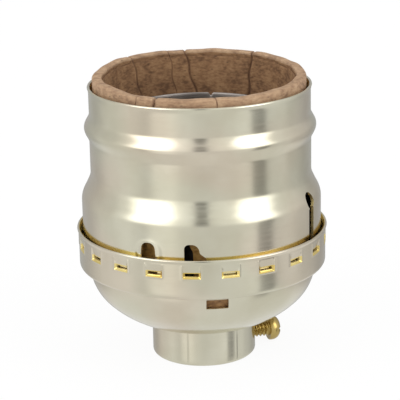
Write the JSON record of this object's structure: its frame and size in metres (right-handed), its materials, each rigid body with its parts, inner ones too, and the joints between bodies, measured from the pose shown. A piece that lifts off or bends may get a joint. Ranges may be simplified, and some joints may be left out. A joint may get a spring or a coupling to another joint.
{
  "type": "lamp holder",
  "caption": "Keyless screw lamp holder: pale brass shell with a rolled bead and fibre liner, in a slotted round cap with a short neck and a side set screw.",
  "frame": {"origin": "centre of the neck's flat lower face, on the lamp axis", "axes": "+Z along the lamp axis towards the lamp, -Y towards the front with the small arch, the wide notch and the cap's square hole, +X towards the set screw"},
  "size_m": [0.0398, 0.0398, 0.0458],
  "materials": {
    "shell_brass": "bright pale brass plate, clear lacquered",
    "fibre": "raw brown fibreboard",
    "screw_brass": "turned yellow brass",
    "insert_brass": "tapped brass",
    "moulding": "black phenolic moulding",
    "screw_shell_metal": "rolled aluminium sheet",
    "contact_brass": "stamped spring brass",
    "nickel_steel": "nickel-plated screw",
    "rivet_metal": "upset brass rivet"
  },
  "bodies": {
    "holder": {"cap": "shell_brass", "cap_liner": "fibre", "neck_insert": "insert_brass", "socket_base": "moulding", "screw_shell": "screw_shell_metal", "hot_terminal": "contact_brass", "neutral_terminal": "contact_brass", "hot_rivet": "rivet_metal", "neutral_rivet": "rivet_metal", "shell_rivet": "rivet_metal"},
    "shell": {"outer_shell": "shell_brass", "shell_liner": "fibre"},
    "set_screw": {"set_screw": "screw_brass"},
    "contact": {"centre_contact": "contact_brass"},
    "hot_screw": {"hot_terminal_screw": "screw_brass"},
    "neutral_screw": {"neutral_terminal_screw": "nickel_steel"}
  },
  "joints": [
    {"name": "shell_lift", "type": "slide", "parent": "holder", "child": "shell", "axis": [0, 0, 1], "range_m": [0, 0.03]},
    {"name": "set_screw_travel", "type": "slide", "parent": "holder", "child": "set_screw", "axis": [0.9613, 0.2756, 0], "range_m": [-0.0026, 0.0012]},
    {"name": "contact_flex", "type": "hinge", "parent": "holder", "child": "contact", "pos_m": [0, 0.0058, 0.0175], "axis": [1, 0, 0], "range_deg": [0, 5], "stiffness_Nm_per_rad": 0.02},
    {"name": "hot_screw_travel", "type": "slide", "parent": "holder", "child": "hot_screw", "axis": [1, 0, 0], "range_m": [0, 0.0022]},
    {"name": "neutral_screw_travel", "type": "slide", "parent": "holder", "child": "neutral_screw", "axis": [-1, 0, 0], "range_m": [0, 0.0022]}
  ]
}
